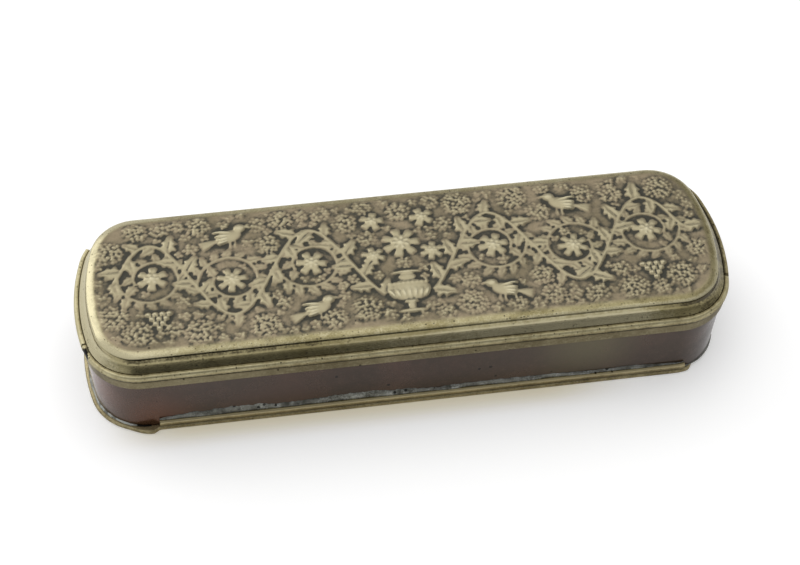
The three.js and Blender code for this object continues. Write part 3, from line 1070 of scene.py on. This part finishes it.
# Lid beads
# Extra level per strip: the left strip lighter, the right darker, as painted sheen and shade
BEADS = {
    "front": ((LEFT_NOTCH_END, RIGHT_NOTCH), 0),
    "left": ((LEFT_BEAD_END, LEFT_NOTCH), 0.35),
    "right": ((RIGHT_NOTCH_END, RIGHT_BEAD_END + 360), -0.4)}
LEFT_CHIP = (193, 206)
CHIP_DEPTH, CHIP_INSET = 0.75 * MM, 0.15 * MM


def chip_end(bead):
    """The left end of the front strip is broken and painted black along its outside, as painted shadow of
    the gap behind it.
    """
    wear_and_light_level = bead.data.attributes["wear_and_light_level"].data
    for v in bead.data.vertices:
        away = Vector((v.co.x + CORNER_X, v.co.y + CORNER_Y))
        heading = math.degrees(math.atan2(away.y, away.x)) % 360
        share = (heading - LEFT_CHIP[0]) / (LEFT_CHIP[1] - LEFT_CHIP[0])
        if 0 < share < 1 and CORNER_R - away.length < CHIP_DEPTH * math.sin(math.pi * share) ** 0.5:
            wear_and_light_level[v.index].value = -2.0
            v.co.xy -= away.normalized() * CHIP_INSET


def build_beads():
    section = half_round(BEAD_ROUND, BEAD_ROUND, BEAD_FOOT, BEAD_TOP, 14)
    section += [(BEAD_W, BEAD_FOOT), (BEAD_W, BEAD_TOP)]
    # Bead light on top with wear and a painted highlight, its lower half darkened as painted shade
    wear_and_light_level = [0.85 - 1.15 * smooth_step(i, 4, 11) for i in range(15)] + [0.0, 0.0]
    for i, (side, (span, extra)) in enumerate(BEADS.items()):
        rub_and_light = [w + extra for w in wear_and_light_level]
        bead = moulding("lid_bead_strip_" + side, section, rub_and_light, span, MOULDING_BRASS,
                        wobble=0.14, length=18, seed=i)
        if side == "front":
            chip_end(bead)
        finish_piece(bead, "lid", "moulding_brass", "lid_bead_" + side)


# Wall, collar and bezel
RIGHT_PINCH, PINCH_TOP = 1.0 * MM, 0.7 * WALL_TOP
HINGE_ROOM, HINGE_CUT = 0.3 * MM, COLLAR_FOOT - 0.1 * MM


def cut_for_hinge(wall):
    for v in wall.data.vertices:
        if v.co.y > AXIS_Y - 2 * KNUCKLE_R and abs(v.co.x) < HINGE_HALF + HINGE_ROOM:
            v.co.z = min(v.co.z, HINGE_CUT)


def pinch(obj):
    """The foot of the right end has been knocked inwards."""
    for v in obj.data.vertices:
        low = 1 - smooth_step(v.co.z, 0, PINCH_TOP)
        v.co.x -= RIGHT_PINCH * low * smooth_step(v.co.x, CORNER_X, HALF_L - WALL_IN)


def build_wall():
    wall = moulding("copper_wall", *flat_band(WALL_IN, WALL_T, WALL_FOOT, WALL_TOP),
                    ALL_ROUND, COPPER, wobble=0.3, length=30, seed=5.0)
    cut_for_hinge(wall)
    pinch(wall)
    finish_piece(settle(wall), "body", "copper", "side_wall")
    collar = moulding("collar_band", *flat_band(COLLAR_IN, COLLAR_T, COLLAR_FOOT, WALL_TOP),
                      ROUND_FRONT, COLLAR_BRASS_SHADED, wobble=0.12, length=20, seed=7.0)
    finish_piece(collar, "body", "moulding_brass", "top_collar")
    bezel = moulding("bezel_lip", *flat_band(BEZEL_IN, BEZEL_T, BEZEL_FOOT, BEZEL_TOP),
                     ROUND_FRONT, MOULDING_BRASS, wobble=0.1, length=20, seed=9.0)
    finish_piece(bezel, "body", "moulding_brass", "inner_bezel")


# Base plate and reeds
HEM_LOSS = 1.5 * MM
FLARE, FLARE_LENGTH, FLARE_END = 1.0 * MM, 8.5 * MM, 1.8 * MM


def cut_start(strip):
    for v in strip.data.vertices:
        v.co.x = max(v.co.x, REED_START)
    settle(strip)


def build_base():
    """The hem is lost at the right end and flares out at the left front corner."""
    at, out = trace(*ALL_ROUND, STRIP_STEP)
    hem = half_round(HEM_ROUND, HEM_ROUND, 0, HEM_TOP, 12)
    section = [(HEM_W, FLOOR_Z), (HEM_W, HEM_TOP)] + hem + [(HEM_W, 0)]
    # Hem light on top with wear and a painted highlight, darker down its face as painted shade
    rub_and_light = [0.4, 0.8] + [0.95 - 0.6 * i / 12 for i in range(13)] + [0.4]
    heading = np.degrees(np.arctan2(out[:, 1], out[:, 0]))
    lost = HEM_LOSS * smooth_step(np.abs(heading), *LOST_HEM)[:, None]
    past = at[:, :1] - REED_START
    flare = FLARE * smooth_step(past, -FLARE_LENGTH, -FLARE_END) * smooth_step(-past, 0, FLARE_END)
    flare *= at[:, 1:] < 0
    rows = [np.column_stack([at - out * (inset + lost - flare * (inset < HEM_W)), np.full(len(at), z)])
            for inset, z in section]
    faces = capped_skin(len(rows), len(at))
    base = mesh_object("base_sheet", np.concatenate(rows), faces, metal=BASE_BRASS)
    set_attribute(base, "wear_and_light_level", np.repeat(rub_and_light, len(at)))
    pinch(base)
    finish_piece(settle(base), "body", "base_brass", "base_plate")


def build_reeds():
    section = half_round(HEM_ROUND, REED_ROUND, REED_FOOT, REED_TOP, 12)
    section += [(HEM_W, REED_FOOT), (HEM_W, REED_TOP)]
    # Reed light on top with wear and a painted highlight, its lower face darkened as painted shade
    wear_and_light_level = [1.25 - 1.05 * smooth_step(i, 2, 8) for i in range(13)] + [0.0, 0.0]
    for side, span, seed in (("front", FRONT_REED, 11.0), ("back", BACK_REED, 12.0)):
        reed = moulding("reed_strip_" + side, section, wear_and_light_level, span, BASE_BRASS,
                        wobble=0.2, length=25, seed=seed)
        if side == "front":
            cut_start(reed)
        finish_piece(reed, "body", "base_brass", "base_reed_" + side)


# Solder: levels of a smear with their bulge, and how far each point round it is rubbed
SMEAR = ((0.0, 0.75), (0.16, 1.0), (0.4, 0.9), (0.66, 0.6), (0.86, 0.28), (1.0, 0.0))
SMEAR_RUB = (0.2, 0.6, 0.6, 0.5, 0.5, 0.5, 0.3, 0.3)
SMEAR_STEP = 0.35 * MM
SMEAR_LIFT, SMEAR_ROOT = 0.03 * MM, 0.05 * MM
SMEAR_SHARP = 70
TAPER, BLACK_END_LENGTH = 14, 3.5


def ragged(value, scale, seed):
    return 0.5 + 0.5 * noise.noise(Vector((value * scale, seed, 0.5)))


def solder_run(side, span, foot, tall, thick, seed, thinning=0.0, rub_and_light=0.0):
    """Ragged smear of solder along the outline; thinning is the share of height lost on the way."""
    at, out = trace(*span, SMEAR_STEP)
    travel = np.concatenate([[0], np.cumsum(np.linalg.norm(np.diff(at, axis=0), axis=1))]) / MM
    whole = travel[-1]
    ends = 0.25 + 0.75 * smooth_step(np.minimum(travel, whole - travel), 0, TAPER)
    points = []
    for p, facing, s, full in zip(at, out, travel, ends):
        height = 0.2 + 0.8 * ragged(s, 0.08, seed) + 0.35 * ragged(s, 0.4, seed + 3)
        height += 0.3 * ragged(s, 1.1, seed)
        height *= tall * MM * full * (1 - thinning * smooth_step(s, 0.3 * whole, 0.75 * whole))
        body = thick * MM * (0.35 + 0.9 * ragged(s, 0.22, seed + 9))
        for share, swell in SMEAR:
            rough = 1 + 0.5 * (ragged(s * 1.7 + share * 9, 0.9, seed + 5) - 0.5)
            inset = WALL_IN - SMEAR_LIFT - body * swell * rough
            points.append((*(p - facing * inset), foot + height * share))
        for share in (1.0, 0.0):
            points.append((*(p - facing * (WALL_IN + SMEAR_ROOT)), foot + height * share))
    run = mesh_object("solder_smear_" + side, points, capped_skin(len(at), len(SMEAR_RUB)), metal=SOLDER)
    mottle = 0.5 * np.array([ragged(s, 0.5, seed + 17) - 0.5 for s in travel])
    wear_and_light_level = np.add.outer(mottle * (1 + 9 * rub_and_light) + rub_and_light, SMEAR_RUB)
    # The last stretch of the left run is near black
    if side == "left":
        wear_and_light_level[travel > whole - BLACK_END_LENGTH] = -2.0
    set_attribute(run, "wear_and_light_level", wear_and_light_level.ravel())
    if side == "front":
        cut_start(run)
    if side == "right":
        pinch(run)
    finish_piece(settle(run, SMEAR_SHARP), "body", "solder", "solder_" + side)


def build_solder():
    on_reed, on_hem = REED_TOP - 0.25 * MM, HEM_TOP - 0.02 * MM
    solder_run("front", FRONT_REED, on_reed, tall=2.4, thick=0.45, seed=2.0, thinning=0.5)
    solder_run("back", BACK_REED, on_reed, tall=2.0, thick=0.4, seed=12.0)
    solder_run("left", LEFT_TRACK, on_hem, tall=0.9, thick=0.35, seed=22.0, rub_and_light=0.3)
    solder_run("right", RIGHT_TRACK, on_hem, tall=0.8, thick=0.3, seed=32.0)


# Hinge
KNUCKLE_EASE, PIN_EASE = 0.12 * MM, 0.15 * MM
PIN_RUB = 0.6


def hinge_tree():
    tree, given = new_tree(
        "row_of_knuckles", Object=["Knuckle"], Int=["Count"], Vector=["Start", "Pitch"], Material=["Metal"])
    line = place(tree, "GeometryNodeMeshLine", {
        "Count": given["Count"], "Start Location": given["Start"], "Offset": given["Pitch"]})
    row = place(tree, "GeometryNodeInstanceOnPoints", {
        "Points": line, "Instance": drawn(given["Knuckle"])})
    return close_tree(row, given["Metal"])


def turned_piece(name, profile, metal=None):
    """Turns (x, radius, rubbed) points about the X axis into a closed ring or solid."""
    angles = round_angles(KNUCKLE_SIDES)
    points = [(x, r * math.cos(a), r * math.sin(a)) for x, r, _ in profile for a in angles]
    piece = mesh_object(name, points, skin(len(profile), KNUCKLE_SIDES, around=True), metal=metal)
    set_attribute(piece, "wear_and_light_level", np.repeat([rub_and_light for _, _, rub_and_light in profile], KNUCKLE_SIDES))
    return piece


def build_hinge():
    tree = hinge_tree()
    length, pitch = KNUCKLE_LENGTH, KNUCKLE_LENGTH + KNUCKLE_GAP
    eased = KNUCKLE_R - KNUCKLE_EASE
    tube = turned_piece("knuckle_tube", [
        (0, BORE_R, 0), (0, eased, 0.9), (KNUCKLE_EASE, KNUCKLE_R, 0.8),
        (length * 0.33, KNUCKLE_R, 0.5), (length * 0.67, KNUCKLE_R, 0.5),
        (length - KNUCKLE_EASE, KNUCKLE_R, 0.8), (length, eased, 0.9), (length, BORE_R, 0)])
    for first, body, count in ((0, "body", 5), (1, "lid", 4)):
        row = mesh_object(body + "_knuckle_tubes", [(0, 0, 0)])
        shape(row, tree, {
            "Knuckle": tube, "Count": count, "Metal": HINGE_BRASS,
            "Start": (-HINGE_HALF + first * pitch, AXIS_Y, AXIS_Z), "Pitch": (2 * pitch, 0, 0)})
        nodes = [f"{body}_knuckle_{i + 1}" for i in range(count)]
        finish_piece(settle(row), body, "hinge_brass", *nodes)
    discard(tube)
    half = [(HINGE_HALF - PIN_EASE, PIN_R), (HINGE_HALF, PIN_R - PIN_EASE), (HINGE_HALF, WELD)]
    whole = [(-x, r) for x, r in half[::-1]] + half
    wire = turned_piece("hinge_wire", [(x, r, PIN_RUB) for x, r in whole], HINGE_BRASS)
    wire.data.transform(Matrix.Translation((0, AXIS_Y, AXIS_Z)))
    finish_piece(settle(wire), "body", "hinge_brass", "hinge_pin")
    for node in ("body_hinge_bearer", "lid_hinge_bearer"):
        materials = frame["nodes"][node].data.materials
        materials.clear()
        materials.append(BEARER_BRASS)


# Floor, light and camera
def grey(level):
    return (level, level, level, 1)


FLOOR_HALF = 6
FLOOR_SHADE, FLOOR_LIFT = 0.9, 0.29
TABLE_EDGE, TABLE_DARK = (-0.14, -0.2), grey(0.1)
# Painted warm shade on the table before the box, for light bounced from the brass and its shadow
PAINTED_WARM_SHADE = (0.82, 0.76, 0.6, 1)
PAINTED_SHADE_REACH, PAINTED_SHADE_SHIFT = 0.0075, 0.012
PAINTED_SHADE_ENDS = HALF_L - 0.012, HALF_L - 0.04
ROOM_GREYS, ROOM_SPAN = (grey(1.0), grey(0.65)), (-0.75, 0.75)
FRONT_GREYS, FRONT_SPAN = (grey(0.7), grey(0.42)), (-0.5, 0.4)
FRONT_DEPTH, FRONT_RISE = (0.1, -0.35), (0.9, 0.7)
VIEWER_GREY, VIEWER_SPREAD = grey(0.03), (0.52, 0.15)
LAMPS = (("overhead", (0.1, 0.5, 1.15), 1.3, 3.2), ("left", (-0.68, 0.81, 0.66), 0.76, 2.0))

# Camera solved from the outlines of the box in the picture
VIEW_TURN, VIEW_RISE, VIEW_ROLL = (math.radians(a) for a in (-8.93, 50.89, 0.91))
VIEW_DISTANCE = 467.0 * MM
PICTURE_WIDTH, FOCAL_PIXELS = 800, 1788.7
ORIGIN_RIGHT, ORIGIN_DOWN = 2.56, 42.3
SENSOR = 36


def build_stage():
    """White table with painted warm shade before the box; what metal mirrors of it ends at a dark edge."""
    corners = [(x * FLOOR_HALF, y * FLOOR_HALF, 0) for x, y in ((-1, -1), (1, -1), (1, 1), (-1, 1))]
    material, surface, where = new_material("white_table")
    tree = where.tree
    floor = mesh_object("floor", corners, [(0, 1, 2, 3)], metal=material)
    seen = place(tree, "ShaderNodeLightPath")
    mirrored = seen["Is Glossy Ray"].at_least(seen["Is Transmission Ray"])
    shown = seen["Is Camera Ray"].at_least(mirrored)
    spot = place(tree, "ShaderNodeSeparateXYZ", {"Vector": where})
    depth = spot["Y"]
    ended = depth.step(*TABLE_EDGE) * mirrored
    beside = abs(spot["X"] + PAINTED_SHADE_SHIFT).step(*PAINTED_SHADE_ENDS)
    ahead = depth.step(-HALF_W - PAINTED_SHADE_REACH, -HALF_W) * depth.step(0, -0.01)
    warm_shade = (ahead * beside).blend(grey(1.0), PAINTED_WARM_SHADE)
    feed(surface, {
        "Base Color": ended.blend(warm_shade.vector("SCALE", FLOOR_SHADE), TABLE_DARK),
        "Emission Color": warm_shade, "Emission Strength": shown * (1.0 - ended) * FLOOR_LIFT,
        "Roughness": 0.8, "Specular IOR Level": 0.1})


def build_light():
    """White room, brighter to the left; in front it is darker, darkest where the viewer stands."""
    world = bpy.data.worlds.new("studio")
    bpy.context.scene.world = world
    world.use_nodes = True
    tree = world.node_tree
    where = place(tree, "ShaderNodeTexCoord")["Generated"]
    facing = place(tree, "ShaderNodeSeparateXYZ", {"Vector": where})
    across, depth, rise = (facing[axis] for axis in "XYZ")
    front = depth.step(*FRONT_DEPTH) * rise.step(*FRONT_RISE)
    off = abs(across / depth.at_most(-0.05) - math.tan(-VIEW_TURN))
    viewer = front * off.step(*VIEWER_SPREAD)
    room = across.step(*ROOM_SPAN).blend(*ROOM_GREYS)
    shade = front.blend(room, across.step(*FRONT_SPAN).blend(*FRONT_GREYS))
    feed(tree.nodes["Background"], {"Color": viewer.blend(shade, VIEWER_GREY), "Strength": 1.0})
    for name, at, size, power in LAMPS:
        data = bpy.data.lights.new(name, "AREA")
        data.shape = "DISK"
        data.size = size
        data.energy = power
        lamp = add_object(name, data)
        lamp.location = at
        lamp.rotation_euler = (-Vector(at)).to_track_quat("-Z", "Y").to_euler()


def build_camera():
    flat = math.cos(VIEW_RISE)
    back = Vector((math.sin(VIEW_TURN) * flat, -math.cos(VIEW_TURN) * flat, math.sin(VIEW_RISE)))
    level = Vector((math.cos(VIEW_TURN), math.sin(VIEW_TURN), 0))
    right = level * math.cos(VIEW_ROLL) + back.cross(level) * math.sin(VIEW_ROLL)
    up = back.cross(right)
    eye = back * VIEW_DISTANCE
    target = (up * ORIGIN_DOWN - right * ORIGIN_RIGHT) * VIEW_DISTANCE / FOCAL_PIXELS
    toward = (eye - target).normalized()
    right = up.cross(toward).normalized()
    turn = Matrix((right, toward.cross(right), toward)).transposed()
    data = bpy.data.cameras.new("camera")
    data.sensor_width = SENSOR
    data.lens = FOCAL_PIXELS / PICTURE_WIDTH * SENSOR
    data.clip_start = 0.01
    camera = add_object("camera", data)
    camera.matrix_world = Matrix.Translation(eye) @ turn.to_4x4()
    bpy.context.scene.camera = camera


build_lid()
build_beads()
build_wall()
build_base()
build_reeds()
build_solder()
build_hinge()
build_stage()
build_light()
build_camera()
bpy.context.scene.view_settings.view_transform = "Standard"
